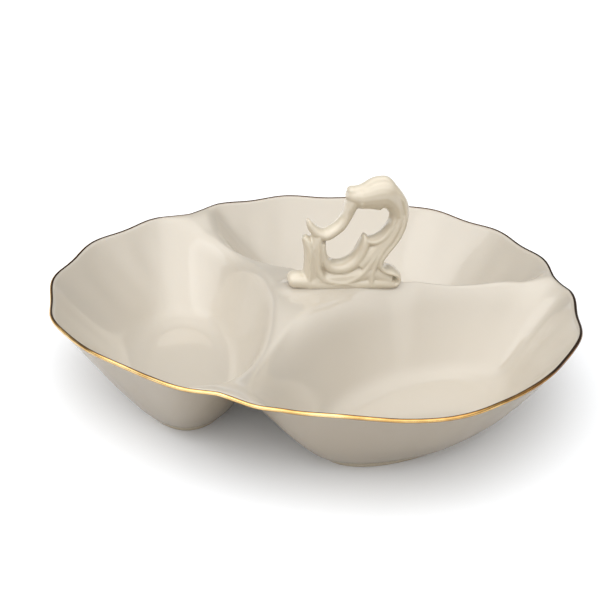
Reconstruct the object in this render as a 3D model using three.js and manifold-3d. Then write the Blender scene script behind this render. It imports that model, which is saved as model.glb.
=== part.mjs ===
// Three-part glazed porcelain serving dish with a scroll handle, millimetres, +Z up.
// The dish stands on three oval foot rings at z = 0. The handle stands in the XZ plane of the dish's axis.
import * as THREE from 'three';
import { mergeVertices } from 'three/addons/utils/BufferGeometryUtils.js';
import Module from 'manifold-3d';

// Rim: lobes, notches and scallops
const rimHeight = 56;
const leftLobeRadius = 158;
const frontLobeRadius = 153.5;
const backLobeRadius = 158;
const handleNotchRadius = 143;
const frontNotchRadius = 139.5;
const backNotchRadius = 140.5;
const leftLobeSag = 4.6;
const frontLobeSag = 2.9;
const backLobeSag = 2.1;
const lobeShape = 1.05;
const scallopsPerLobe = 6;
const scallopDepth = 1;
const scallopRise = 1;

// Wall, rim and gilt line
const wallThickness = 4;
const wallBow = 1.18;
const rimThickness = 3;
const giltHeight = 1.3;
const jointGap = 0.3;

// Ridges between the wells
const crestDrop = 5.5;
const openRidgeSag = 6.2;
const sagStart = 22;
const notchRun = 24;
const cornerRound = 14;
const browRun = 2;

// Edges of the crest round each well, and the shoulders below them
const leftPlateauReach = 31;
const frontPlateauReach = 23;
const backPlateauReach = 18;
const leftArcRadius = 150;
const frontArcRadius = 118;
const backArcRadius = 138;
const tightShoulder = 5;
const softShoulder = 14;

// Well floors and foot rings
const floorCentre = 82;
const floorHalfWidth = 28;
const floorHalfLength = 59.5;
const floorThickness = 3.5;
const floorFillet = 8;
const footHeight = 1.8;
const footWidth = 5;
const footLedge = 0.2;
const footMargin = 1.2;
const leftFloorSlide = 6;

// Slip that joins the cast pieces
const beadHalfWidth = 4.2;
const beadDepth = 3.4;
const beadEdgeDrop = 0.8;
const padThickness = 0.6;
const padSpread = 6;
const padSkirt = 6;

// Handle
const handleStart = -20.6;
const handleLength = 67;
const handleHeight = 67;
const handleHalfDepth = 9;
const fluteDepth = 0.09;

// Ridges by bearing in degrees. The two open ones sag halfway, the handle's one stays level.
const ridges = {
  handle: { bearing: -2.5, notchRadius: handleNotchRadius, sag: 0 },
  back: { bearing: 122, notchRadius: backNotchRadius, sag: openRidgeSag },
  front: { bearing: -119.8, notchRadius: frontNotchRadius, sag: openRidgeSag },
};

// Wells, each counter-clockwise from one ridge to the next. The crest's inner edge is an arc that comes
// within the plateau's reach of the dish's axis. The slide moves a floor sideways in its lobe.
const wells = [
  {
    name: 'left', from: ridges.back, to: ridges.front, lean: -0.45, slide: leftFloorSlide,
    lobeRadius: leftLobeRadius, lobeSag: leftLobeSag,
    plateauReach: leftPlateauReach, arcRadius: leftArcRadius, shoulder: tightShoulder,
  },
  {
    name: 'front', from: ridges.front, to: ridges.handle, lean: 0, slide: 0,
    lobeRadius: frontLobeRadius, lobeSag: frontLobeSag,
    plateauReach: frontPlateauReach, arcRadius: frontArcRadius, shoulder: softShoulder,
  },
  {
    name: 'back', from: ridges.handle, to: ridges.back, lean: 0.16, slide: 0,
    lobeRadius: backLobeRadius, lobeSag: backLobeSag,
    plateauReach: backPlateauReach, arcRadius: backArcRadius, shoulder: tightShoulder,
  },
];

// Hand-made swells of the rim: bearing and half span in degrees, reach in millimetres.
const swells = [
  { bearing: -78, halfSpan: 13, reach: 2.6 },
  { bearing: -95, halfSpan: 10, reach: -1.6 },
  { bearing: -51, halfSpan: 12, reach: -1.8 },
  { bearing: -147, halfSpan: 14, reach: -1.8 },
  { bearing: -127, halfSpan: 8, reach: 1.4 },
];

const glaze = new THREE.MeshStandardMaterial({ color: 0xddd3c2, roughness: 0.16, metalness: 0 });
const handleGlaze = new THREE.MeshStandardMaterial({ color: 0xd6c8a8, roughness: 0.18, metalness: 0 });
const slip = new THREE.MeshStandardMaterial({ color: 0xd2c6b2, roughness: 0.25, metalness: 0 });
const biscuit = new THREE.MeshStandardMaterial({ color: 0xe6dfd0, roughness: 0.8, metalness: 0 });
const gilt = new THREE.MeshStandardMaterial({ color: 0xb98a3c, roughness: 0.28, metalness: 0.9 });

const wasm = await Module();
wasm.setup();

const { clamp, degToRad, euclideanModulo, lerp, radToDeg, smoothstep } = THREE.MathUtils;
const sixth = Math.PI / 3;
const rimSteps = 8 * scallopsPerLobe;
const ridgeSteps = 10;
const underside = footHeight + jointGap;
const floorTop = underside + floorThickness;
const rimEdge = rimHeight - giltHeight - jointGap;
const crestLevel = rimHeight - crestDrop;

for (const well of wells) {
  const low = degToRad(well.from.bearing);
  const high = degToRad(well.to.bearing);
  well.half = euclideanModulo(high - low, 2 * Math.PI) / 2;
  well.turn = low + well.half;
}

// Adds two triangles for each step between neighbouring loops of points.
function bridge(indices, a, b, count) {
  for (let i = 0; i < count; i += 1) {
    const j = (i + 1) % count;
    indices.push(a + i, a + j, b + j, a + i, b + j, b + i);
  }
}

// A closed body through equal loops of points. Both ends close on a centre point.
function loft(loops, startPoint, endPoint) {
  const count = loops[0].length;
  const points = [...loops.flat(), startPoint, endPoint];
  const indices = [];
  for (let i = 0; i + 1 < loops.length; i += 1) {
    bridge(indices, i * count, (i + 1) * count, count);
  }
  const last = (loops.length - 1) * count;
  const start = loops.length * count;
  for (let i = 0; i < count; i += 1) {
    const j = (i + 1) % count;
    indices.push(start, j, i, start + 1, last + i, last + j);
  }
  return outward(points, indices);
}

// A closed ring through loops of points, where the last loop joins the first.
function ringLoft(loops) {
  const count = loops[0].length;
  const indices = [];
  for (let i = 0; i < loops.length; i += 1) {
    bridge(indices, i * count, ((i + 1) % loops.length) * count, count);
  }
  return outward(loops.flat(), indices);
}

// Turns the faces outward by the sign of the enclosed volume.
function outward(points, indices) {
  let volume = 0;
  for (let i = 0; i < indices.length; i += 3) {
    const [a, b, c] = [points[indices[i]], points[indices[i + 1]], points[indices[i + 2]]];
    volume += a.dot(b.clone().cross(c));
  }
  if (volume < 0) {
    indices.reverse();
  }
  return new THREE.BufferGeometry().setFromPoints(points).setIndex(indices);
}

function centreOf(points) {
  const sum = points.reduce((total, p) => total.add(p), new THREE.Vector3());
  return sum.divideScalar(points.length);
}

function toSolid(geometry) {
  const vertProperties = Float32Array.from(geometry.getAttribute('position').array);
  const triVerts = Uint32Array.from(geometry.getIndex().array);
  return new wasm.Manifold(new wasm.Mesh({ numProp: 3, vertProperties, triVerts }));
}

function fromSolid(solid) {
  const mesh = solid.getMesh();
  const geometry = new THREE.BufferGeometry();
  geometry.setAttribute('position', new THREE.BufferAttribute(mesh.vertProperties, 3));
  geometry.setIndex(new THREE.BufferAttribute(mesh.triVerts, 1));
  return geometry;
}

function largestBody(solid) {
  return solid.decompose().reduce((best, body) => (body.volume() > best.volume() ? body : best));
}

// Lower of two heights, rounded where they come closer than a width.
function softMin(a, b, width) {
  const near = Math.max(width - Math.abs(a - b), 0) / width;
  return Math.min(a, b) - (near * near * width) / 4;
}

// Outer radius and bare level of the rim at an angle from the middle of a well.
function rimAt(well, angle) {
  const share = clamp(angle / well.half, -1, 1);
  const across = share * sixth;
  const notch = (share > 0 ? well.to : well.from).notchRadius;
  const bow = Math.max(0, Math.cos(1.5 * across));
  const wave = Math.cos(3 * scallopsPerLobe * across);
  const span = well.lobeRadius - notch - 2 * scallopDepth;
  let radius = notch + span * bow ** lobeShape * (1 + well.lean * Math.sin(1.5 * across));
  radius += scallopDepth * (1 - wave);
  for (const { bearing, halfSpan, reach } of swells) {
    const away = euclideanModulo(radToDeg(well.turn + angle) - bearing + 180, 360) - 180;
    radius += reach * (1 - smoothstep(Math.abs(away), 0, halfSpan));
  }
  const level = rimEdge - well.lobeSag * bow ** 2 - scallopRise * 0.5 * (1 + wave);
  return { radius, level };
}

// Height of a ridge top at a distance from the dish's axis. It climbs to the rim before the notch.
function crest(ridge, distance) {
  const along = clamp((distance - sagStart) / (ridge.notchRadius - sagStart), 0, 1);
  const dip = ridge.sag * Math.sin(Math.PI * along) ** 2;
  const rise = rimEdge - scallopRise - crestLevel;
  const climb = smoothstep(distance, ridge.notchRadius - notchRun, ridge.notchRadius - rimThickness);
  return crestLevel - dip + rise * climb;
}

// Distance from the middle of a well's floor to the rim's inner edge along a direction.
function reachToRim(well, pointAt) {
  let low = 0;
  let high = 2 * well.lobeRadius;
  for (let i = 0; i < 36; i += 1) {
    const middle = (low + high) / 2;
    const point = pointAt(middle);
    const inside = point.length() < rimAt(well, Math.atan2(point.y, point.x)).radius - rimThickness;
    if (inside) {
      low = middle;
    } else {
      high = middle;
    }
  }
  return low;
}

// Distance from the middle of a floor to its oval edge, grown by a margin, along a unit direction.
function ovalReach(direction, grow) {
  return 1 / Math.hypot(direction.x / (floorHalfWidth + grow), direction.y / (floorHalfLength + grow));
}

// Upright cut through a well, from the middle of its floor towards a point of the plan.
// The floor eases into a bowed wall, and the wall rolls over a shoulder into the crest or ends at the rim.
function wellCut(well, x, y) {
  const direction = new THREE.Vector2(x - floorCentre, y - well.slide);
  const reach = direction.length();
  direction.divideScalar(reach);
  const pointAt = (length) => new THREE.Vector2(
    floorCentre + length * direction.x,
    well.slide + length * direction.y,
  );
  const floorReach = ovalReach(direction, 0);
  const fromArc = new THREE.Vector2(floorCentre - well.plateauReach - well.arcRadius, well.slide);
  const b = direction.dot(fromArc);
  const arcReach = -b + Math.sqrt(b * b - fromArc.lengthSq() + well.arcRadius ** 2);
  const rimReach = reachToRim(well, pointAt);
  const edge = softMin(arcReach, rimReach, cornerRound);
  const rimShare = smoothstep(arcReach - rimReach, -cornerRound, cornerRound);
  const upperLevel = (length) => {
    const point = pointAt(length);
    const ridge = point.y > 0 ? well.to : well.from;
    const along = point.x * Math.cos(well.half) + Math.abs(point.y) * Math.sin(well.half);
    return lerp(crest(ridge, along), rimAt(well, Math.atan2(point.y, point.x)).level, rimShare);
  };
  const wallRise = upperLevel(edge) - floorTop;
  const topAt = (length) => {
    const climb = (length - floorReach) / (edge - floorReach);
    const wall = floorTop + wallRise * Math.sign(climb) * Math.abs(climb) ** wallBow;
    const upper = softMin(wall, upperLevel(length), Math.max(well.shoulder * (1 - rimShare), 0.01));
    return -softMin(-upper, -floorTop, floorFillet);
  };
  const underAt = (length) => {
    const run = wallThickness / 4;
    const slope = (topAt(length) - topAt(length - run)) / run;
    return Math.max(topAt(length) - wallThickness * Math.hypot(1, slope), underside);
  };
  const at = (length, height) => {
    const point = pointAt(length);
    return new THREE.Vector3(point.x, point.y, height);
  };
  return { reach, floorReach, edge, topAt, underAt, at };
}

// Point of a ridge line beside a well, on one of the even stations between the dish's axis and the notch.
function ridgePoint(well, side, step) {
  const ridge = side > 0 ? well.to : well.from;
  const apex = jointGap / 2 / Math.sin(well.half);
  const along = ((ridge.notchRadius - rimThickness - apex) * step) / ridgeSteps;
  return { x: apex + along * Math.cos(well.half), y: side * along * Math.sin(well.half) };
}

// Outline of a well's upper face, with its middle on +X: the rim's inner edge, then the two ridge lines.
function wellOutline(well) {
  const outline = [];
  const corner = well.half - jointGap / 2 / frontNotchRadius;
  for (let i = 0; i <= rimSteps; i += 1) {
    const angle = -corner + (2 * corner * i) / rimSteps;
    const { radius, level } = rimAt(well, angle);
    const lip = new THREE.Vector3(radius * Math.cos(angle), radius * Math.sin(angle), level);
    const inner = 1 - rimThickness / radius;
    outline.push({ x: lip.x * inner, y: lip.y * inner, lip });
  }
  for (let step = ridgeSteps - 1; step >= 0; step -= 1) {
    outline.push(ridgePoint(well, 1, step));
  }
  for (let step = 1; step < ridgeSteps; step += 1) {
    outline.push(ridgePoint(well, -1, step));
  }
  return outline;
}

// One cast well: floor, fillet, bowed wall, shoulder and crest, with its outer skin.
function wellGeometry(well) {
  const rings = [];
  for (const { x, y, lip } of wellOutline(well)) {
    const { reach, floorReach, edge, topAt, underAt, at } = wellCut(well, x, y);
    const brow = Math.min(edge, reach - browRun);
    const ease = well.shoulder * 0.8;
    const wallStart = floorReach + floorFillet;
    const wallEnd = brow - ease;
    const lengths = [
      floorReach - floorFillet,
      floorReach - 0.3 * floorFillet,
      floorReach + 0.3 * floorFillet,
      wallStart,
      lerp(wallStart, wallEnd, 1 / 3),
      lerp(wallStart, wallEnd, 2 / 3),
      wallEnd,
      brow,
      brow + Math.min(ease, (reach - brow) / 2),
      reach,
    ];
    const column = lengths.map((length) => at(length, topAt(length)));
    column.push(lip ?? at(reach, underAt(reach)));
    for (const length of [brow, lengths[5], lengths[4]]) {
      column.push(at(length, underAt(length)));
    }
    column.push(at(floorReach + footMargin, underside));
    column.forEach((point, i) => (rings[i] ??= []).push(point));
  }
  const floorMiddle = new THREE.Vector3(floorCentre, well.slide, floorTop);
  return loft(rings, floorMiddle, floorMiddle.clone().setZ(underside));
}

// Gilt line along one lobe: flat below, rounded above, as wide as the rim.
function giltGeometry(well) {
  const loops = [];
  const corner = well.half - jointGap / 2 / frontNotchRadius;
  const section = [[0, 0], [1, 0], [1, 0.55], [0.78, 1], [0.22, 1], [0, 0.55]];
  for (let i = 0; i <= rimSteps; i += 1) {
    const angle = -corner + (2 * corner * i) / rimSteps;
    const { radius, level } = rimAt(well, angle);
    loops.push(section.map(([across, up]) => {
      const reach = radius - rimThickness + across * rimThickness;
      const z = level + jointGap + up * giltHeight;
      return new THREE.Vector3(reach * Math.cos(angle), reach * Math.sin(angle), z);
    }));
  }
  return loft(loops, centreOf(loops[0]), centreOf(loops[loops.length - 1]));
}

// Unglazed oval ring under one well.
function footGeometry(well) {
  const steps = 48;
  const inner = footLedge - footWidth;
  const round = footHeight * 0.3;
  const section = [
    [inner, footHeight], [inner, round], [inner + round, 0],
    [footLedge - round, 0], [footLedge, round], [footLedge, footHeight],
  ];
  const loops = [];
  for (let i = 0; i < steps; i += 1) {
    const angle = (2 * Math.PI * i) / steps;
    const direction = new THREE.Vector2(Math.cos(angle), Math.sin(angle));
    loops.push(section.map(([grow, z]) => {
      const reach = ovalReach(direction, grow);
      return new THREE.Vector3(floorCentre + reach * direction.x, well.slide + reach * direction.y, z);
    }));
  }
  return ringLoft(loops);
}

// The cast wells moved up or down, and also a little inward, so that the joints between them are closed.
function wellsMoved(rise) {
  const copies = wells.flatMap(({ solid, turn }) => [
    solid.translate([0, 0, rise]),
    solid.translate([-jointGap * Math.cos(turn), -jointGap * Math.sin(turn), rise]),
  ]);
  return copies.reduce((total, copy) => total.add(copy));
}

// Slip bead along a ridge, pressed up between the two wells and rounded below.
function beadGeometry(ridge) {
  const sides = 6;
  const before = wells.find((well) => well.to === ridge);
  const after = wells.find((well) => well.from === ridge);
  const loops = [];
  for (let step = 1; step < ridgeSteps; step += 1) {
    const levels = [[before, 1], [after, -1]].map(([well, side]) => {
      const { x, y } = ridgePoint(well, side, step);
      const cut = wellCut(well, x, y);
      return cut.underAt(cut.reach);
    });
    const level = Math.min(...levels);
    const distance = ((ridge.notchRadius - rimThickness) * step) / ridgeSteps;
    const loop = [new THREE.Vector3(distance, 0, level + wallThickness / 3)];
    for (let k = 0; k <= sides; k += 1) {
      const angle = (Math.PI * k) / sides;
      const y = beadHalfWidth * Math.cos(angle);
      const z = level - beadEdgeDrop - beadDepth * Math.sin(angle);
      loop.push(new THREE.Vector3(distance, y, z));
    }
    loops.push(loop);
  }
  const strip = loft(loops, centreOf(loops[0]), centreOf(loops[loops.length - 1]));
  strip.rotateZ(degToRad(ridge.bearing));
  return fromSolid(largestBody(toSolid(strip).subtract(wellsMoved(-jointGap))));
}

// Slip pad under the handle: a skirted oblong that fills down to the crest and the tops of the walls.
function padGeometry() {
  const steps = 24;
  const radius = handleHalfDepth * 0.95;
  const half = handleLength / 2 - radius;
  const top = crestLevel + jointGap + padThickness;
  const loops = [[radius, top], [radius + padSpread, top - padSkirt]].map(([round, z]) => {
    const loop = [];
    for (let i = 0; i < steps; i += 1) {
      const angle = (2 * Math.PI * (i + 0.5)) / steps;
      const end = handleStart + handleLength / 2 + Math.sign(Math.cos(angle)) * half;
      loop.push(new THREE.Vector3(end + round * Math.cos(angle), round * Math.sin(angle), z));
    }
    return loop;
  });
  const oblong = loft(loops, centreOf(loops[0]), centreOf(loops[1]));
  return fromSolid(largestBody(toSolid(oblong).subtract(wellsMoved(jointGap))));
}

// A tapered scroll in the handle's plane. Each point gives length, height, half width and half depth.
function scrollGeometry(points, sides, steps, flutes) {
  const centres = points.map(([s, h]) => new THREE.Vector3(s, 0, h));
  const sizes = points.map(([, , wide, deep]) => new THREE.Vector3(wide, deep, 0));
  const spine = new THREE.CatmullRomCurve3(centres, false, 'centripetal');
  const girth = new THREE.CatmullRomCurve3(sizes);
  const loops = [];
  for (let i = 0; i <= steps; i += 1) {
    const u = i / steps;
    const centre = spine.getPoint(u);
    const tangent = spine.getTangent(u);
    const normal = new THREE.Vector3(-tangent.z, 0, tangent.x);
    const size = girth.getPoint(u);
    const loop = [];
    for (let k = 0; k < sides; k += 1) {
      const angle = (2 * Math.PI * k) / sides;
      const swell = 1 - fluteDepth * (flutes ? 0.5 - 0.5 * Math.cos(flutes * angle) : 0);
      const point = centre.clone().addScaledVector(normal, size.x * swell * Math.cos(angle));
      loop.push(point.setY(size.y * swell * Math.sin(angle)));
    }
    loops.push(loop);
  }
  return loft(loops, spine.getPoint(0), spine.getPoint(1));
}

// Scroll handle with a fluted pillar, shell crest, C-shaped bar, two curled leaves and a footed base.
function handleGeometry() {
  const long = handleLength / 67;
  const tall = handleHeight / 66.6;
  const deep = handleHalfDepth / 9;
  const wide = Math.min(long, tall);
  const place = (points) => points.map(([s, h, w, d]) => [s * long, h * tall, w * wide, d * deep]);
  const parts = [
    { sides: 16, steps: 26, flutes: 0, points: [
      [32.6, 57, 2.4, 4.2], [35.4, 55.6, 4.8, 6.6], [40.4, 54.4, 6.6, 8], [44.6, 55, 8.2, 8.6],
      [49.6, 56.7, 9.7, 9], [55.6, 55.6, 9.2, 8.4], [61.2, 50.6, 6, 7.4], [63.6, 43, 5.3, 6.6],
      [62.8, 37.6, 5.4, 6.4], [59.2, 30, 6, 6.6], [54, 23, 6.8, 7], [47.5, 15.5, 7.6, 7.6], [40, 6, 8.2, 8],
    ] },
    { sides: 32, steps: 22, flutes: 8, points: [
      [15.4, 1, 7, 8], [15, 8, 6.4, 7.6], [15, 16, 6, 7.2], [15.8, 22.5, 5.4, 6.6], [18.6, 28.4, 4.4, 6],
      [23.4, 32.6, 3.5, 5.2], [28.4, 36.4, 3.5, 5], [32, 41, 3.6, 5], [34.6, 47, 4, 5.4], [37, 53, 4.6, 6],
    ] },
    { sides: 12, steps: 9, flutes: 0, points: [
      [23, 31, 3, 4.6], [17.2, 33.2, 3.4, 4.6], [13.2, 36.4, 2.6, 4], [11.2, 39.4, 1.5, 3],
      [10.4, 41.6, 0.5, 1.4],
    ] },
    { sides: 12, steps: 9, flutes: 0, points: [
      [16.6, 22, 4, 5.4], [12.6, 25.2, 3.2, 4.8], [9.8, 28, 2.2, 4], [8, 30, 1.2, 2.8], [7, 31.4, 0.4, 1.2],
    ] },
    { sides: 14, steps: 14, flutes: 0, points: [
      [14, 9.6, 5.6, 7.6], [24, 9.4, 6, 8], [34, 11, 6, 7.6], [41.6, 17, 5.8, 7], [44.6, 24, 4.4, 6],
      [44.4, 28.8, 3, 4.6], [43.4, 31.4, 1, 2],
    ] },
    { sides: 16, steps: 16, flutes: 0, points: [
      [0.2, 4.2, 2.2, 4.4], [2.6, 4.3, 4.4, 8], [8, 4, 5, 9], [20, 4.4, 5.6, 9], [34, 4.4, 5.8, 9],
      [48, 4, 5.2, 9], [58, 3.4, 4, 8.4], [62, 3, 3, 7.4],
    ] },
    { sides: 12, steps: 14, flutes: 0, points: [
      [50, 13, 3, 6.6], [56.4, 10.2, 2.1, 7.4], [61.6, 8.8, 1.9, 7.6], [65, 6.2, 1.8, 7.6],
      [64.8, 3, 1.8, 7.4], [62, 1.6, 1.8, 7],
    ] },
  ];
  const solids = parts.map(({ sides, steps, flutes, points }) => (
    toSolid(scrollGeometry(place(points), sides, steps, flutes))
  ));
  const joined = solids.reduce((total, solid) => total.add(solid));
  const below = new THREE.BoxGeometry(3 * handleLength, 6 * handleHalfDepth, handleHeight);
  below.translate(0, 0, -handleHeight / 2);
  below.deleteAttribute('normal');
  below.deleteAttribute('uv');
  return fromSolid(joined.subtract(toSolid(mergeVertices(below))));
}

function add(group, name, geometry, material) {
  const mesh = new THREE.Mesh(geometry, material);
  mesh.name = name;
  group.add(mesh);
  return mesh;
}

const dish = new THREE.Group();
for (const well of wells) {
  const bowl = wellGeometry(well).rotateZ(well.turn);
  well.solid = toSolid(bowl);
  add(dish, `bowl_${well.name}`, bowl, glaze);
  add(dish, `gilt_rim_${well.name}`, giltGeometry(well).rotateZ(well.turn), gilt);
  add(dish, `foot_ring_${well.name}`, footGeometry(well).rotateZ(well.turn), biscuit);
}
for (const [name, ridge] of Object.entries(ridges)) {
  add(dish, `slip_bead_${name}`, beadGeometry(ridge), slip);
}
add(dish, 'slip_pad', padGeometry(), slip);
const handle = add(dish, 'scroll_handle', handleGeometry(), handleGlaze);
handle.position.set(handleStart, 0, crestLevel + padThickness + 2 * jointGap);

// The origin is under the middle of the whole outline.
const box = new THREE.Box3().setFromObject(dish, true);
const middle = box.getCenter(new THREE.Vector3());
dish.position.set(-middle.x, -middle.y, 0);

const part = new THREE.Group();
part.add(dish);

export default part;
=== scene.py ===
import bpy
import bmesh
import math
from mathutils import Matrix, Vector


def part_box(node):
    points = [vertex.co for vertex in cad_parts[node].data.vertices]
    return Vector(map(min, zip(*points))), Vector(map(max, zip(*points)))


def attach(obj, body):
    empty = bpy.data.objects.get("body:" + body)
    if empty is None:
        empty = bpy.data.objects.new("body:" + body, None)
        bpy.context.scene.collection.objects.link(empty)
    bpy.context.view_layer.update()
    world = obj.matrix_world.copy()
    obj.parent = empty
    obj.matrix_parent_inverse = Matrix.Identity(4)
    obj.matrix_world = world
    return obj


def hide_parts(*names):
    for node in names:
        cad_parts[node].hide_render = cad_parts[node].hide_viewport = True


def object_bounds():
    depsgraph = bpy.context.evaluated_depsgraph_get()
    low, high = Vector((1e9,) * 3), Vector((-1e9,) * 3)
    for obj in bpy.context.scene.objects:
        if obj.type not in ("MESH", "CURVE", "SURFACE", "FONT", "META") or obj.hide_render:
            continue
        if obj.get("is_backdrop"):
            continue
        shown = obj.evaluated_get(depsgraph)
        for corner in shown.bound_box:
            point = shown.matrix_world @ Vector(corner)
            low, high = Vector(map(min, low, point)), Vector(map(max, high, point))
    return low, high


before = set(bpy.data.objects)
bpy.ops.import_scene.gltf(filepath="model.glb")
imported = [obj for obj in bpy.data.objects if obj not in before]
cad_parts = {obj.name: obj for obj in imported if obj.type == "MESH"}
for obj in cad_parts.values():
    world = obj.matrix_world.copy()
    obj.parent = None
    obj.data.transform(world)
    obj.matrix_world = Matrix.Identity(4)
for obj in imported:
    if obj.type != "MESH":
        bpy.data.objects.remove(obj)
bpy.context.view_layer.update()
scene = bpy.context.scene
scene.view_settings.view_transform = "Standard"
mm = 0.001


def newPiece(name, bm, material, slotName, *nodes):
    mesh = bpy.data.meshes.new(name)
    bm.to_mesh(mesh)
    bm.free()
    piece = bpy.data.objects.new(name, mesh)
    scene.collection.objects.link(piece)
    mesh.materials.append(material)
    mesh.polygons.foreach_set("use_smooth", [True] * len(mesh.polygons))
    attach(piece, "root")
    if nodes:
        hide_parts(*nodes)
    return piece


def smoothStep(value, low, high):
    t = min(1.0, max(0.0, (value - low) / (high - low)))
    return t * t * (3 - 2 * t)


def riseAndFall(value, start, full, ebb, end):
    # 0 before the start, 1 from full to ebb, 0 past the end
    return smoothStep(value, start, full) * (1 - smoothStep(value, ebb, end))


def softMin(a, b, width):
    h = max(width - abs(a - b), 0.0) / width
    return min(a, b) - h * h * width / 4


def softMax(a, b, width):
    return -softMin(-a, -b, width)


def nextRing(bm, edges):
    # a new ring drawn out of the last one
    made = bmesh.ops.extrude_edge_only(bm, edges=edges)["geom"]
    ring = [g for g in made if isinstance(g, bmesh.types.BMVert)]
    return ring, [g for g in made if isinstance(g, bmesh.types.BMEdge)]


def linkNodes(tree, *pairs):
    for source, target in pairs:
        tree.links.new(source, target)


def addMath(nodes, operation, clamped=False):
    node = nodes.new("ShaderNodeMath")
    node.operation = operation
    node.use_clamp = clamped
    return node


def addRange(nodes, fromSpan, toSpan, smooth=False):
    node = nodes.new("ShaderNodeMapRange")
    if smooth:
        node.interpolation_type = "SMOOTHSTEP"
    for name, value in zip(("From Min", "From Max", "To Min", "To Max"), (*fromSpan, *toSpan)):
        node.inputs[name].default_value = value
    return node


def addNoise(nodes, scale, detail):
    node = nodes.new("ShaderNodeTexNoise")
    node.inputs["Scale"].default_value = scale
    node.inputs["Detail"].default_value = detail
    return node


def addBump(nodes, strength, distance):
    node = nodes.new("ShaderNodeBump")
    node.inputs["Strength"].default_value = strength
    node.inputs["Distance"].default_value = distance
    return node


def newFinish(name):
    material = bpy.data.materials.new(name)
    material.use_nodes = True
    return material, material.node_tree, material.node_tree.nodes["Principled BSDF"]


def makeGlazeGroup():
    # slow tone drift, faint specks and the ripple of a poured glaze
    group = bpy.data.node_groups.new("pouredGlaze", "ShaderNodeTree")
    face = group.interface
    for name, kind, value in (("Base", "NodeSocketColor", (0.7, 0.63, 0.52, 1)),
                              ("Pool", "NodeSocketColor", (0.6, 0.5, 0.36, 1)),
                              ("Drift", "NodeSocketFloat", 0.3),
                              ("Specks", "NodeSocketFloat", 0.1)):
        socket = face.new_socket(name, in_out="INPUT", socket_type=kind)
        socket.default_value = value
    for name, kind in (("Colour", "NodeSocketColor"),
                       ("Roughness", "NodeSocketFloat"),
                       ("Height", "NodeSocketFloat")):
        face.new_socket(name, in_out="OUTPUT", socket_type=kind)
    nodes = group.nodes
    taken = nodes.new("NodeGroupInput")
    given = nodes.new("NodeGroupOutput")
    coords = nodes.new("ShaderNodeTexCoord")
    slow = addNoise(nodes, scale=14, detail=3)
    ripple = addNoise(nodes, scale=70, detail=1.5)
    speck = nodes.new("ShaderNodeTexVoronoi")
    speck.inputs["Scale"].default_value = 260
    speckEdge = addRange(nodes, (0.02, 0.1), (1, 0))
    speckPart = addMath(nodes, "MULTIPLY")
    driftPart = addMath(nodes, "MULTIPLY")
    total = addMath(nodes, "ADD", clamped=True)
    tone = nodes.new("ShaderNodeMix")
    tone.data_type = "RGBA"
    rough = addRange(nodes, (0, 1), (0.12, 0.2))
    linkNodes(group,
              (coords.outputs["Object"], slow.inputs["Vector"]),
              (coords.outputs["Object"], ripple.inputs["Vector"]),
              (coords.outputs["Object"], speck.inputs["Vector"]),
              (speck.outputs["Distance"], speckEdge.inputs["Value"]),
              (speckEdge.outputs["Result"], speckPart.inputs[0]),
              (taken.outputs["Specks"], speckPart.inputs[1]),
              (slow.outputs["Fac"], driftPart.inputs[0]),
              (taken.outputs["Drift"], driftPart.inputs[1]),
              (speckPart.outputs[0], total.inputs[0]),
              (driftPart.outputs[0], total.inputs[1]),
              (total.outputs[0], tone.inputs["Factor"]),
              (taken.outputs["Base"], tone.inputs["A"]),
              (taken.outputs["Pool"], tone.inputs["B"]),
              (tone.outputs["Result"], given.inputs["Colour"]),
              (slow.outputs["Fac"], rough.inputs["Value"]),
              (rough.outputs["Result"], given.inputs["Roughness"]),
              (ripple.outputs["Fac"], given.inputs["Height"]))
    return group


glazeGroup = makeGlazeGroup()


def makeGlaze(name, base, pool, drift, ripple):
    material, tree, shader = newFinish(name)
    effect = tree.nodes.new("ShaderNodeGroup")
    effect.node_tree = glazeGroup
    effect.inputs["Base"].default_value = (*base, 1)
    effect.inputs["Pool"].default_value = (*pool, 1)
    effect.inputs["Drift"].default_value = drift
    effect.inputs["Specks"].default_value = 0.12
    bump = addBump(tree.nodes, strength=ripple, distance=0.0006)
    # the glaze loses its mirror where it is seen along its face
    along = tree.nodes.new("ShaderNodeLayerWeight")
    along.inputs["Blend"].default_value = 0.5
    coat = addRange(tree.nodes, (0.5, 0.9), (0.7, 0.1), smooth=True)
    gleam = addRange(tree.nodes, (0.5, 0.9), (0.5, 0.1), smooth=True)
    shader.inputs["IOR"].default_value = 1.52
    shader.inputs["Coat Roughness"].default_value = 0.04
    shader.inputs["Subsurface Weight"].default_value = 0.08
    shader.inputs["Subsurface Radius"].default_value = (0.004, 0.003, 0.002)
    shader.inputs["Subsurface Scale"].default_value = 1
    linkNodes(tree,
              (effect.outputs["Colour"], shader.inputs["Base Color"]),
              (effect.outputs["Roughness"], shader.inputs["Roughness"]),
              (along.outputs["Facing"], coat.inputs["Value"]),
              (coat.outputs["Result"], shader.inputs["Coat Weight"]),
              (along.outputs["Facing"], gleam.inputs["Value"]),
              (gleam.outputs["Result"], shader.inputs["Specular IOR Level"]),
              (effect.outputs["Height"], bump.inputs["Height"]),
              (bump.outputs["Normal"], shader.inputs["Normal"]))
    return material


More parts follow.
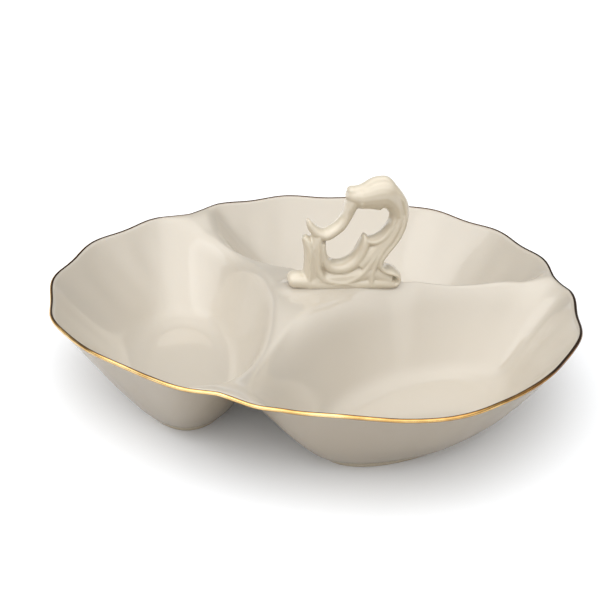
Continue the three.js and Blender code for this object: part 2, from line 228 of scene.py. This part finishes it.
def makeGold():
    # brushed-on gold with a painted highlight and painted shade: a value painted on the piece says how bright
    # each place is
    material, tree, shader = newFinish("goldLustre")
    shader.inputs["Metallic"].default_value = 1
    coords = tree.nodes.new("ShaderNodeTexCoord")
    brush = addNoise(tree.nodes, scale=70, detail=4)
    paintedGlintAndShade = tree.nodes.new("ShaderNodeAttribute")
    paintedGlintAndShade.attribute_name = "paintedGlintAndShade"
    uneven = addRange(tree.nodes, (0, 1), (-0.2, 0.14))
    layer = addMath(tree.nodes, "ADD")
    # painted shade to painted highlight: dark brown at low values, bright gold at the top
    ramp = tree.nodes.new("ShaderNodeValToRGB")
    stops = ramp.color_ramp.elements
    stops[0].position = 0.64
    stops[0].color = (0.1, 0.055, 0.03, 1)
    stops[1].position = 1
    stops[1].color = (0.94, 0.71, 0.36, 1)
    for place, colour in ((0.79, (0.36, 0.18, 0.055, 1)), (0.91, (0.72, 0.45, 0.16, 1))):
        stops.new(place).color = colour
    rough = addRange(tree.nodes, (0, 1), (0.1, 0.28))
    linkNodes(tree,
              (coords.outputs["Object"], brush.inputs["Vector"]),
              (brush.outputs["Fac"], uneven.inputs["Value"]),
              (paintedGlintAndShade.outputs["Fac"], layer.inputs[0]),
              (uneven.outputs["Result"], layer.inputs[1]),
              (layer.outputs[0], ramp.inputs["Fac"]),
              (ramp.outputs["Color"], shader.inputs["Base Color"]),
              (brush.outputs["Fac"], rough.inputs["Value"]),
              (rough.outputs["Result"], shader.inputs["Roughness"]))
    return material


def makeBiscuit():
    # bare fired clay
    material, tree, shader = newFinish("bareBiscuit")
    coords = tree.nodes.new("ShaderNodeTexCoord")
    grain = addNoise(tree.nodes, scale=900, detail=5)
    ramp = tree.nodes.new("ShaderNodeValToRGB")
    ramp.color_ramp.elements[0].color = (0.6, 0.53, 0.42, 1)
    ramp.color_ramp.elements[1].color = (0.76, 0.7, 0.59, 1)
    bump = addBump(tree.nodes, strength=0.35, distance=0.0002)
    shader.inputs["Roughness"].default_value = 0.85
    linkNodes(tree,
              (coords.outputs["Object"], grain.inputs["Vector"]),
              (grain.outputs["Fac"], ramp.inputs["Fac"]),
              (ramp.outputs["Color"], shader.inputs["Base Color"]),
              (grain.outputs["Fac"], bump.inputs["Height"]),
              (bump.outputs["Normal"], shader.inputs["Normal"]))
    return material


ivoryGlaze = makeGlaze("ivoryGlaze", base=(0.56, 0.515, 0.445), pool=(0.53, 0.472, 0.386),
                       drift=0.5, ripple=0.12)
# handle glaze: a lighter, yellower copy of the ivory glaze; the extra lightness is painted light, the yellow
# partly the thicker glaze in the relief and partly painted bounce light
litScrollGlaze = makeGlaze("litScrollGlaze", base=(0.68, 0.62, 0.51), pool=(0.6, 0.515, 0.378),
                        drift=0.6, ripple=0.1)
goldLustre = makeGold()
bareBiscuit = makeBiscuit()
print("materials ready")

# dish body: one glazed skin over three wells, in millimetres about the upright axis where the ridges meet
# each run: where a feature starts, is full, starts to fade and ends

dish = {
    "rimHeight": 56.0, "rimEase": 0.5, "pastRim": 260.0, "lobeShape": 1.05,
    "scallops": 6, "scallopDepth": 1.0, "scallopRise": 1.0,
    "crestDrop": 5.5, "crestClimb": (24.0, 3.0), "ridgeSag": 6.2, "sagStart": 22.0,
    "floorCentre": 82.0, "floorWide": 28.0, "floorLong": 59.5, "floorTop": 5.6, "floorFillet": 8.0,
    "wallBow": 1.18, "flutes": 13, "fluteRelief": 0.2, "fluteRun": (0.2, 0.6, 0.75, 0.98), "leastRound": 0.05,
    "slipRun": (36.0, 58.0, 104.0, 134.0), "rubRun": (6.0, 20.0, 108.0, 128.0), "rubWidth": (8.0, 18.0),
    "rubTurns": 30, "lip": 2.3, "wall": 4.0, "lipShare": 0.42, "lipRun": 0.16, "segments": 480, "rings": 92,
}
# slip round the seat of the handle: where it lies along the ridge, its height, and how it slopes away
seat = {"ends": (-14.0, 37.0), "rise": 2.4, "slope": (5.0, 16.0)}
sixth = math.pi / 3
# ridges: bearing, rim radius at the notch, whether the top dips along its run, slip laid along the top
ridges = {
    "front": {"bearing": math.radians(-119.8), "notch": 139.5, "sags": True, "slip": 0.0},
    "handle": {"bearing": math.radians(-2.5), "notch": 143.0, "sags": False, "slip": 4.0},
    "back": {"bearing": math.radians(122.0), "notch": 140.5, "sags": True, "slip": 0.0},
}
# wells: each runs counter-clockwise from one ridge to the next
# lobe: rim radius, plateau: level ground about the axis, arcs: radii of the inner edge on its two sides
wells = (
    {"ridges": ("back", "front"), "lobe": 158.0, "lobeSag": 4.6, "skew": -0.45,
     "plateau": 31.0, "arcs": (150.0, 150.0), "shoulder": 8.0, "corner": 14.0, "slide": 6.0},
    {"ridges": ("front", "handle"), "lobe": 153.5, "lobeSag": 2.9, "skew": 0.0,
     "plateau": 23.0, "arcs": (118.0, 138.0), "shoulder": 14.0, "corner": 12.0, "slide": 0.0},
    {"ridges": ("handle", "back"), "lobe": 158.0, "lobeSag": 2.1, "skew": 0.16,
     "plateau": 18.0, "arcs": (162.0, 138.0), "shoulder": 5.0, "corner": 8.0, "slide": 0.0},
)
# hand-made swells of the rim: bearing, half span, reach
swells = ((-78, 13, 2.6), (-95, 10, -1.6), (-51, 12, -1.8), (-147, 14, -1.8), (-127, 8, 1.4))

for well in wells:
    low, high = (ridges[name]["bearing"] for name in well["ridges"])
    well["half"] = ((high - low) % (2 * math.pi)) / 2
    well["turn"] = low + well["half"]

# the upright axis where the ridges meet, found from the oval under the left well
footLow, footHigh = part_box("foot_ring_left")
floorMiddle = Matrix.Rotation(wells[0]["turn"], 2) @ Vector((dish["floorCentre"], wells[0]["slide"]))
axis = (footLow + footHigh).to_2d() / 2 - floorMiddle * mm


def onDish():
    # from millimetres about the axis to the frame
    return Matrix.Translation((*axis, 0)) @ Matrix.Scale(mm, 4)


def wellAt(angle):
    well = min(wells, key=lambda w: abs(math.remainder(angle - w["turn"], 2 * math.pi)) / w["half"])
    return well, math.remainder(angle - well["turn"], 2 * math.pi)


def rimOf(well, local):
    # outer radius and level of the rim at an angle from a well's middle
    share = min(1.0, max(-1.0, local / well["half"]))
    across = share * sixth
    notch = ridges[well["ridges"][1 if share > 0 else 0]]["notch"]
    bow = max(0.0, math.cos(1.5 * across))
    wave = math.cos(3 * dish["scallops"] * across)
    span = well["lobe"] - notch - 2 * dish["scallopDepth"]
    radius = notch + span * bow ** dish["lobeShape"] * (1 + well["skew"] * math.sin(1.5 * across))
    radius += dish["scallopDepth"] * (1 - wave) - dish["lip"]
    for bearing, halfSpan, reach in swells:
        away = math.degrees(math.remainder(well["turn"] + local - math.radians(bearing), 2 * math.pi))
        radius += reach * (1 - smoothStep(abs(away), 0, halfSpan))
    level = dish["rimHeight"] - dish["rimEase"] - well["lobeSag"] * bow * bow
    return radius, level - dish["scallopRise"] * 0.5 * (1 + wave)


def crestLevel(ridge, distance):
    # height of a ridge's top at a distance from the axis
    level = dish["rimHeight"] - dish["crestDrop"]
    t = min(1.0, max(0.0, (distance - dish["sagStart"]) / (ridge["notch"] - dish["sagStart"])))
    drop = dish["ridgeSag"] * math.sin(math.pi * t) ** 2 if ridge["sags"] else 0.0
    rise = dish["crestDrop"] - dish["rimEase"] - dish["scallopRise"]
    level += ridge["slip"] * riseAndFall(distance, *dish["slipRun"])
    start, end = (ridge["notch"] - before for before in dish["crestClimb"])
    return level - drop + rise * smoothStep(distance, start, end)


def rimReach(well, bearing):
    # distance from a floor's middle to the rim along a bearing
    low, high = 0.0, dish["pastRim"]
    for halving in range(36):
        middle = (low + high) / 2
        x = dish["floorCentre"] + middle * math.cos(bearing)
        y = well["slide"] + middle * math.sin(bearing)
        if math.hypot(x, y) < rimOf(well, math.atan2(y, x))[0]:
            low = middle
        else:
            high = middle
    return low


# distances to the rim, worked out once for each well
reachSteps = 1440
for well in wells:
    well["reach"] = [rimReach(well, 2 * math.pi * i / reachSteps - math.pi) for i in range(reachSteps + 1)]


def rimReachAt(well, bearing):
    place = (bearing + math.pi) / (2 * math.pi) * reachSteps
    i = min(reachSteps - 1, int(place))
    return well["reach"][i] + (well["reach"][i + 1] - well["reach"][i]) * (place - i)


def ridgeTop(well, x, y):
    along = x * math.cos(well["half"]) + abs(y) * math.sin(well["half"])
    return crestLevel(ridges[well["ridges"][1 if y > 0 else 0]], along)


def seatRise(x, y):
    # slip built up round the seat of the handle
    first, last = seat["ends"]
    away = math.hypot(max(0.0, first - x, x - last), y)
    return seat["rise"] * (1 - smoothStep(away, *seat["slope"]))


def dishTop(x, y):
    # height of the glazed upper face over a point of the plan
    well, local = wellAt(math.atan2(y, x))
    radius = math.hypot(x, y)
    px, py = radius * math.cos(local), radius * math.sin(local)
    dx, dy = px - dish["floorCentre"], py - well["slide"]
    reach = max(1e-6, math.hypot(dx, dy))
    ux, uy = dx / reach, dy / reach
    floorReach = 1 / math.hypot(ux / dish["floorWide"], uy / dish["floorLong"])
    # where a ray from the floor's middle meets the arc of the inner edge, or the rim
    arc = well["arcs"][1 if dy + well["slide"] > 0 else 0]
    toArc = dish["floorCentre"] - well["plateau"] - arc
    b = ux * toArc + uy * well["slide"]
    arcReach = -b + math.sqrt(b * b - toArc * toArc - well["slide"] ** 2 + arc ** 2)
    outer = rimReachAt(well, math.atan2(uy, ux))
    edge = softMin(arcReach, outer, well["corner"])
    rimShare = smoothStep(arcReach - outer, -well["corner"], well["corner"])
    ex, ey = dish["floorCentre"] + edge * ux, well["slide"] + edge * uy
    edgeTop = ridgeTop(well, ex, ey)
    edgeTop += (rimOf(well, math.atan2(ey, ex))[1] - edgeTop) * rimShare
    climb = (reach - floorReach) / (edge - floorReach)
    wall = dish["floorTop"]
    wall += (edgeTop - dish["floorTop"]) * math.copysign(abs(climb) ** dish["wallBow"], climb)
    span = riseAndFall(climb, *dish["fluteRun"]) * rimShare
    wall += dish["fluteRelief"] * span * math.cos(dish["flutes"] * local / well["half"] * math.pi)
    top = ridgeTop(well, px, py) + seatRise(x, y)
    top += (rimOf(well, local)[1] - top) * rimShare
    upper = softMin(wall, top, well["shoulder"] * (1 - rimShare) + dish["leastRound"])
    return softMax(upper, dish["floorTop"], dish["floorFillet"])


def ridgeBlend(x, y):
    # where the front ridge is rubbed smooth before glazing
    bearing = ridges["front"]["bearing"]
    along = x * math.cos(bearing) + y * math.sin(bearing)
    away = abs(y * math.cos(bearing) - x * math.sin(bearing))
    return riseAndFall(along, *dish["rubRun"]) * (1 - smoothStep(away, *dish["rubWidth"]))


def buildDish():
    bm = bmesh.new()
    weights = bm.verts.layers.deform.verify()
    thinnest = dish["lipShare"]
    ring = bmesh.ops.create_circle(bm, segments=dish["segments"], radius=1)["verts"]
    edges = list(bm.edges)
    for step in range(dish["rings"]):
        if step:
            ring, edges = nextRing(bm, edges)
        share = 1 - step / dish["rings"]
        for v in ring:
            angle = math.atan2(v.co.y, v.co.x)
            radius = rimOf(*wellAt(angle))[0] * share
            x, y = radius * math.cos(angle), radius * math.sin(angle)
            v.co = (x, y, dishTop(x, y))
            # weights of the groups named below: thickness, rubbed
            v[weights][0] = thinnest + (1 - thinnest) * smoothStep(1 - share, 0, dish["lipRun"])
            v[weights][1] = ridgeBlend(x, y)
    cap = bmesh.ops.contextual_create(bm, geom=edges)["faces"]
    bmesh.ops.poke(bm, faces=cap)
    bmesh.ops.transform(bm, matrix=onDish(), verts=bm.verts)
    bmesh.ops.recalc_face_normals(bm, faces=bm.faces)
    if sum(f.normal.z * f.calc_area() for f in bm.faces) < 0:
        bmesh.ops.reverse_faces(bm, faces=bm.faces)
    return bm


dishPiece = newPiece("dishBody", buildDish(), ivoryGlaze, "glaze",
                     "bowl_left", "bowl_front", "bowl_back",
                     "slip_bead_handle", "slip_bead_back", "slip_bead_front")
dishPiece.vertex_groups.new(name="thickness")
dishPiece.vertex_groups.new(name="rubbed")
rub = dishPiece.modifiers.new("rubbedRidge", "SMOOTH")
rub.factor = 0.5
rub.iterations = dish["rubTurns"]
rub.vertex_group = "rubbed"
skin = dishPiece.modifiers.new("wall", "SOLIDIFY")
skin.thickness = dish["wall"] * mm
skin.offset = -1
skin.vertex_group = "thickness"
skin.thickness_vertex_group = 0
print("dish body", len(dishPiece.data.vertices))

# gilt line: a slim bead laid over the lip

gilt = {
    "outward": 0.64, "down": 0.64, "long": 1.02, "short": 0.76, "slant": math.radians(-45),
    "insideLip": 0.9999, "sides": 20, "segments": 480,
    # where the painted highlight is brightest, and the bearing, depth and focus of the painted shade
    "brightest": math.radians(28), "paintedShadeBearing": math.radians(-24), "paintedShadeDepth": 0.3, "paintedShadeFocus": 4,
}


def buildGilt():
    bm = bmesh.new()
    paintedGlintAndShade = bm.verts.layers.float.new("paintedGlintAndShade")
    slant = Matrix.Rotation(gilt["slant"], 2)
    towards = Vector((math.cos(gilt["brightest"]), math.sin(gilt["brightest"])))
    ring = bmesh.ops.create_circle(bm, segments=gilt["segments"], radius=1)["verts"]
    start = edges = list(bm.edges)
    for step in range(gilt["sides"]):
        if step:
            ring, edges = nextRing(bm, edges)
        turn = 2 * math.pi * step / gilt["sides"]
        # oval section, long across the edge of the lip
        offset = slant @ Vector((gilt["long"] * math.cos(turn), gilt["short"] * math.sin(turn)))
        normal = slant @ Vector((math.cos(turn) / gilt["long"], math.sin(turn) / gilt["short"]))
        # painted highlight: brightest where the section faces outward and up
        paintedGlint = 0.5 + 0.5 * normal.normalized().dot(towards)
        for v in ring:
            angle = math.atan2(v.co.y, v.co.x)
            radius = rimOf(*wellAt(angle))[0]
            within = radius * gilt["insideLip"]
            top = dishTop(within * math.cos(angle), within * math.sin(angle))
            radius += gilt["outward"] + offset.x
            v.co = (radius * math.cos(angle), radius * math.sin(angle), top - gilt["down"] + offset.y)
            # painted shade: the gold darkened towards one bearing of the rim
            paintedShade = max(0.0, math.cos(angle - gilt["paintedShadeBearing"])) ** gilt["paintedShadeFocus"]
            v[paintedGlintAndShade] = paintedGlint - gilt["paintedShadeDepth"] * paintedShade
    bmesh.ops.bridge_loops(bm, edges=start + edges)
    bmesh.ops.transform(bm, matrix=onDish(), verts=bm.verts)
    bmesh.ops.recalc_face_normals(bm, faces=bm.faces)
    return bm


newPiece("giltLine", buildGilt(), goldLustre, "gilt", "gilt_rim_left", "gilt_rim_front", "gilt_rim_back")

# foot rings: unglazed ovals that the dish stands on

foot = {"outset": 0.2, "width": 5.0, "height": 2.6, "round": 0.7, "roundMiddle": 0.3, "segments": 96}


def buildFoot(well):
    bm = bmesh.new()
    bearings = bm.verts.layers.float.new("bearing")
    ring = bmesh.ops.create_circle(bm, segments=foot["segments"], radius=1)["verts"]
    for v in ring:
        v[bearings] = math.atan2(v.co.y, v.co.x)
    start = edges = list(bm.edges)
    outer, inner, r = foot["outset"], foot["outset"] - foot["width"], foot["round"]
    m = foot["roundMiddle"] * r
    # section of the ring: past the oval of the floor, and height
    outline = ((outer, foot["height"]), (outer, r), (outer - m, m), (outer - r, 0),
               (inner + r, 0), (inner + m, m), (inner, r), (inner, foot["height"]))
    for step, (grow, height) in enumerate(outline):
        if step:
            ring, edges = nextRing(bm, edges)
        for v in ring:
            c, n = math.cos(v[bearings]), math.sin(v[bearings])
            reach = 1 / math.hypot(c / (dish["floorWide"] + grow), n / (dish["floorLong"] + grow))
            v.co = (dish["floorCentre"] + reach * c, well["slide"] + reach * n, height)
    bmesh.ops.bridge_loops(bm, edges=start + edges)
    bmesh.ops.transform(bm, matrix=onDish() @ Matrix.Rotation(well["turn"], 4, "Z"), verts=bm.verts)
    bmesh.ops.recalc_face_normals(bm, faces=bm.faces)
    return bm


for place, well in zip(("left", "front", "back"), wells):
    newPiece("footRing." + place, buildFoot(well), bareBiscuit, "biscuit", "foot_ring_" + place)
print("gilt line and foot rings")

# scroll handle: tapered strands in one upright plane along the ridge, fused and smoothed
# each station: length from the axis, height over the seat, half width, half depth

scroll = {
    "seat": 51.6, "sides": 20, "stepsPerSpan": 6, "voxel": 0.5, "relax": 6,
    "strands": {
        "outerPillar": [(-9, -1, 3.4, 7.6), (-8.9, 7, 3.2, 7.4), (-8.6, 14, 3.1, 7), (-8.6, 21, 3.1, 6.6),
                        (-9.2, 26.2, 3.2, 5.8), (-10.6, 29.2, 2.8, 4.6), (-12.4, 31.4, 1.6, 3)],
        "hook": [(-10.4, 42, 0.9, 2.2), (-9.3, 39.4, 1.9, 3.8), (-7.2, 36.2, 2.7, 5), (-4, 33.4, 3.2, 6),
                 (0.4, 32.2, 3.4, 6.4), (4.6, 34.4, 3.4, 6.2), (8.9, 38, 3.4, 5.8), (12.3, 43.6, 3.3, 5.4),
                 (14.1, 48.8, 3.9, 6), (16.5, 54, 4.5, 6.5)],
        "sweep": [(-3.8, 32, 2.8, 6.2), (-4, 26, 2.9, 6.8), (-4.2, 18, 3, 7.4), (-3.7, 11.6, 3.1, 7.8),
                  (-0.8, 6.8, 3.2, 8.2), (5, 4.6, 3.2, 8.4), (12, 4.4, 3.3, 8.4), (18.6, 6.6, 3.3, 8.2),
                  (24, 11.4, 3.3, 7.8), (28, 17.4, 3.4, 7.4), (32.6, 24.4, 3.6, 6.6), (37.2, 31.6, 3.7, 6),
                  (40.2, 38.6, 3.6, 5.8), (40.6, 45, 3.6, 6), (37.6, 51, 4.4, 7)],
        "cup": [(-1.6, 28, 2.2, 6), (-1.3, 23, 2.3, 6.6), (-0.3, 17.6, 3, 6.9), (2.4, 13.6, 3.8, 7.1),
                (6.8, 11.7, 4.3, 7.2), (12.2, 12.1, 4.4, 7.2), (17.8, 15.2, 4.4, 6.8), (21.2, 20, 4.2, 6.4),
                (23, 25.4, 3.6, 5.8), (23.4, 29.4, 2.4, 4.6), (22.6, 32, 1, 2.2)],
        "webPillar": [(-6.4, 0, 5.4, 6.8), (-6.4, 12, 4.8, 6.5), (-6, 24, 4.2, 6), (-4.6, 31, 3.4, 5.4)],
        "webFoot": [(-14, 3, 3.4, 6.8), (-4, 5, 5, 7.4), (6, 6, 5.6, 7.6), (16, 6.6, 5.8, 7.6),
                    (26, 8.8, 6.2, 7.6), (33, 7, 5, 7.4), (40, 4.2, 3.4, 7)],
        "webBar": [(21, 13, 5.4, 7), (27.6, 20, 5.2, 6.7), (33.2, 26.4, 4.8, 6.3), (38.4, 33.6, 4.2, 6),
                   (42, 41, 3.8, 6), (42, 47, 4, 6.2)],
        "lip": [(40.2, 44, 2.6, 5.8), (39.2, 38, 2.6, 6), (35, 31.6, 2.6, 6.2), (30.6, 28.4, 2.5, 6.2),
                (27, 27.8, 2.4, 5.6), (24.6, 29, 1.8, 4.4), (23, 31.4, 1, 2.6)],
        "crest": [(12.6, 57.6, 2.6, 4.4), (15, 55.8, 4.8, 6.6), (19.6, 54.4, 6.6, 7.8), (24, 55, 7.6, 8.6),
                  (29, 55.8, 9.2, 9), (34, 55.6, 9, 8.6), (39.5, 50.6, 5.6, 7.4), (42, 44, 4, 6.6)],
        "crestLine": [(12, 57.6, 1.6, 3), (14, 58.2, 2.6, 4.8), (17, 58.6, 2.4, 4.6), (21, 60, 2.2, 4.2),
                      (25, 62.6, 2.2, 4), (28.6, 64.2, 2.1, 3.8), (33.4, 64.6, 2, 3.8), (36, 63, 2.2, 4.4),
                      (38.4, 59.8, 2.5, 5.6), (42.4, 55, 2.5, 6.4), (45.2, 50, 2.5, 6.8),
                      (45.8, 43.6, 2.4, 7), (44.3, 35.6, 2.4, 7.2), (41.2, 28.8, 2.4, 7.2),
                      (36.6, 22.6, 2.5, 7.4), (33.2, 17.2, 2.6, 7.6), (32.8, 13, 2.4, 7.8),
                      (36.2, 10, 2.2, 8), (41, 8.4, 2.1, 8), (44, 6.2, 2, 7.8), (44.5, 3.2, 1.9, 7.6),
                      (42.2, 0.8, 1.8, 7.4)],
        "middleBar": [(43, 44, 3, 6.6), (42, 38, 3.2, 6.8), (38.6, 30.4, 3.2, 7), (34, 23.6, 3.2, 7.2),
                      (30.2, 16.6, 3.2, 7.6), (28, 9.6, 3.2, 8), (27.2, 1, 3.2, 8.4)],
        "base": [(-20.8, 3.6, 2.4, 4.6), (-18.6, 4.2, 4.6, 7), (-14, 4.4, 5.2, 7.8), (-6, 3, 5.2, 8),
                 (6, 2.2, 5, 8), (20, 2.2, 5, 8), (32, 2.4, 5, 8), (40, 1.6, 4, 7.6), (43.6, 0.6, 2.4, 6.6)],
        "baseLeaf": [(4, 2.6, 0.8, 8.2), (9, 3.8, 1.3, 8.8), (14, 3.4, 1.3, 8.8), (18, 2, 0.8, 8.2)],
    },
    # short gadroons under the crest: lengths, half width, and height and half depth at both ends
    "gadroons": {"lengths": (19.6, 23, 26.4, 29.8, 33.2), "wide": 1.6,
                 "low": (49.2, 6.08), "high": (52.6, 8.36)},
}


def stationsAlong(points, steps):
    # smooth curve through the stations
    path = []
    for i in range(len(points) - 1):
        a, b, c, d = (Vector(points[min(max(j, 0), len(points) - 1)]) for j in (i - 1, i, i + 1, i + 2))
        for k in range(steps):
            t = k / steps
            path.append(0.5 * (2 * b + (c - a) * t + (2 * a - 5 * b + 4 * c - d) * t * t
                               + (3 * b - a - 3 * c + d) * t ** 3))
    path.append(Vector(points[-1]))
    return path


def addStrand(bm, points):
    turns = bm.verts.layers.float["turn"]
    path = stationsAlong(points, scroll["stepsPerSpan"])
    ring = bmesh.ops.create_circle(bm, segments=scroll["sides"], radius=1)["verts"]
    for v in ring:
        v[turns] = math.atan2(v.co.y, v.co.x)
    edges = list({e for v in ring for e in v.link_edges})
    bmesh.ops.contextual_create(bm, geom=edges)
    for i, (length, height, wide, deep) in enumerate(path):
        if i:
            ring, edges = nextRing(bm, edges)
        along = path[min(i + 1, len(path) - 1)] - path[max(i - 1, 0)]
        heading = Vector((along[0], along[1])).normalized()
        for v in ring:
            across, depth = wide * math.cos(v[turns]), deep * math.sin(v[turns])
            v.co = (length - heading.y * across, depth, height + heading.x * across)
    bmesh.ops.contextual_create(bm, geom=edges)


def buildScroll():
    bm = bmesh.new()
    bm.verts.layers.float.new("turn")
    for points in scroll["strands"].values():
        addStrand(bm, points)
    gadroon = scroll["gadroons"]
    for length in gadroon["lengths"]:
        addStrand(bm, [(length, height, gadroon["wide"], deep)
                       for height, deep in (gadroon["low"], gadroon["high"])])
    bmesh.ops.transform(bm, matrix=onDish() @ Matrix.Translation((0, 0, scroll["seat"])), verts=bm.verts)
    bmesh.ops.recalc_face_normals(bm, faces=bm.faces)
    return bm


scrollPiece = newPiece("scrollHandle", buildScroll(), litScrollGlaze, "handle_glaze",
                       "scroll_handle", "slip_pad")
fused = scrollPiece.modifiers.new("fuse", "REMESH")
fused.mode = "VOXEL"
fused.voxel_size = scroll["voxel"] * mm
fused.use_smooth_shade = True
relaxed = scrollPiece.modifiers.new("relax", "SMOOTH")
relaxed.factor = 0.5
relaxed.iterations = scroll["relax"]
print("scroll handle")

# camera at the photograph's view

eye = {"elevation": 24.1, "ridgeBearing": 10.3, "roll": 2.33, "distance": 544.0, "lens": 54.2, "sensor": 36.0,
       "shiftX": -0.0244, "shiftY": -0.0482, "clip": (0.01, 50.0)}
cameraData = bpy.data.cameras.new("camera")
cameraData.lens = eye["lens"]
cameraData.sensor_width = eye["sensor"]
cameraData.shift_x = eye["shiftX"]
cameraData.shift_y = eye["shiftY"]
cameraData.clip_start, cameraData.clip_end = eye["clip"]
camera = bpy.data.objects.new("camera", cameraData)
scene.collection.objects.link(camera)
scene.camera = camera
tilt = math.radians(eye["elevation"])
bearing = math.radians(90 - eye["ridgeBearing"])
away = Vector((math.cos(bearing), math.sin(bearing), 0))
target = onDish() @ Vector((0, 0, dish["rimHeight"]))
back = Vector((0, 0, math.sin(tilt))) - away * math.cos(tilt)
turned = (-back).to_track_quat("-Z", "Y").to_matrix().to_4x4()
roll = Matrix.Rotation(math.radians(eye["roll"]), 4, "Z")
camera.matrix_world = Matrix.Translation(target + back * eye["distance"] * mm) @ turned @ roll
print("camera")

# stage: a pale floor and a white round backdrop, sizes in metres

stage = {"floorSize": 6.0, "wallRadius": 5.9, "wallHeight": 1.0, "wallFade": 0.35, "wallSides": 96}


def seenRays(tree):
    # camera, mirror and glass rays, which show the stage white
    path = tree.nodes.new("ShaderNodeLightPath")
    total = path.outputs["Is Camera Ray"]
    for name in ("Is Glossy Ray", "Is Transmission Ray"):
        joined = addMath(tree.nodes, "ADD", clamped=True)
        linkNodes(tree, (total, joined.inputs[0]), (path.outputs[name], joined.inputs[1]))
        total = joined.outputs[0]
    return total


def stageMaterial(name):
    material = bpy.data.materials.new(name)
    material.use_nodes = True
    material.node_tree.nodes.clear()
    return material, material.node_tree, material.node_tree.nodes.new("ShaderNodeOutputMaterial")


def stageObject(name, bm, material):
    mesh = bpy.data.meshes.new(name)
    bm.to_mesh(mesh)
    bm.free()
    mesh.materials.append(material)
    made = bpy.data.objects.new(name, mesh)
    scene.collection.objects.link(made)
    return made


def makeFloor():
    # keeps the shadow, gives back less light than it shows, clear from below
    material, tree, output = stageMaterial("paleFloor")
    matt = tree.nodes.new("ShaderNodeBsdfDiffuse")
    matt.inputs["Color"].default_value = (0.95, 0.97, 1, 1)
    lift = tree.nodes.new("ShaderNodeEmission")
    lift.inputs["Strength"].default_value = 0.035
    dimmed = tree.nodes.new("ShaderNodeBsdfDiffuse")
    dimmed.inputs["Color"].default_value = (0.37, 0.315, 0.235, 1)
    both = tree.nodes.new("ShaderNodeAddShader")
    choose = tree.nodes.new("ShaderNodeMixShader")
    side = tree.nodes.new("ShaderNodeNewGeometry")
    clear = tree.nodes.new("ShaderNodeBsdfTransparent")
    under = tree.nodes.new("ShaderNodeMixShader")
    linkNodes(tree,
              (seenRays(tree), choose.inputs["Fac"]),
              (matt.outputs[0], both.inputs[0]),
              (lift.outputs[0], both.inputs[1]),
              (dimmed.outputs[0], choose.inputs[1]),
              (both.outputs[0], choose.inputs[2]),
              (side.outputs["Backfacing"], under.inputs["Fac"]),
              (choose.outputs[0], under.inputs[1]),
              (clear.outputs[0], under.inputs[2]),
              (under.outputs[0], output.inputs["Surface"]))
    bm = bmesh.new()
    bmesh.ops.create_grid(bm, x_segments=2, y_segments=2, size=stage["floorSize"])
    return stageObject("floor", bm, material)


def makeBackdrop():
    # white where the floor ends, fading upwards, and no bar to the light
    material, tree, output = stageMaterial("whiteBackdrop")
    white = tree.nodes.new("ShaderNodeEmission")
    clear = tree.nodes.new("ShaderNodeBsdfTransparent")
    choose = tree.nodes.new("ShaderNodeMixShader")
    coords = tree.nodes.new("ShaderNodeTexCoord")
    parts = tree.nodes.new("ShaderNodeSeparateXYZ")
    fade = addRange(tree.nodes, (stage["wallFade"], stage["wallHeight"]), (1, 0), smooth=True)
    shown = addMath(tree.nodes, "MULTIPLY")
    linkNodes(tree,
              (coords.outputs["Object"], parts.inputs[0]),
              (parts.outputs["Z"], fade.inputs["Value"]),
              (fade.outputs["Result"], shown.inputs[0]),
              (seenRays(tree), shown.inputs[1]),
              (shown.outputs[0], choose.inputs["Fac"]),
              (clear.outputs[0], choose.inputs[1]),
              (white.outputs[0], choose.inputs[2]),
              (choose.outputs[0], output.inputs["Surface"]))
    bm = bmesh.new()
    bmesh.ops.create_circle(bm, segments=stage["wallSides"], radius=stage["wallRadius"])
    ring, edges = nextRing(bm, list(bm.edges))
    bmesh.ops.translate(bm, verts=ring, vec=(0, 0, stage["wallHeight"]))
    return stageObject("backdrop", bm, material)


floor = makeFloor()
floor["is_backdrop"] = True
backdrop = makeBackdrop()
backdrop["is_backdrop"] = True
print("stage")

# studio tent: one smooth glow, brightest overhead and a little to the camera's left

tent = {"tint": (1, 0.995, 0.985, 1), "brightest": (-0.12, -0.3, 0.945), "spread": (0.22, 1),
        "strength": (0.23, 2.06)}
world = bpy.data.worlds.new("studio")
scene.world = world
world.use_nodes = True
tree = world.node_tree
sky = tree.nodes["Background"]
sky.inputs["Color"].default_value = tent["tint"]
coords = tree.nodes.new("ShaderNodeTexCoord")
facing = tree.nodes.new("ShaderNodeVectorMath")
facing.operation = "DOT_PRODUCT"
facing.inputs[1].default_value = Vector(tent["brightest"]).normalized()
glow = addRange(tree.nodes, tent["spread"], tent["strength"], smooth=True)
linkNodes(tree,
          (coords.outputs["Generated"], facing.inputs[0]),
          (facing.outputs["Value"], glow.inputs["Value"]),
          (glow.outputs["Result"], sky.inputs["Strength"]))

# one soft window at the left, in metres and watts

leftWindow = {"place": (-1.09, 0.05, 0.95), "aim": (0, 0, 0.05), "size": (1.15, 0.95), "power": 3.0}
lampData = bpy.data.lights.new("leftWindow", "AREA")
lampData.shape = "RECTANGLE"
lampData.size, lampData.size_y = leftWindow["size"]
lampData.energy = leftWindow["power"]
lamp = bpy.data.objects.new("leftWindow", lampData)
scene.collection.objects.link(lamp)
lamp.location = leftWindow["place"]
towards = Vector(leftWindow["aim"]) - Vector(leftWindow["place"])
lamp.rotation_euler = towards.to_track_quat("-Z", "Y").to_euler()
print("light")

low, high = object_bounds()
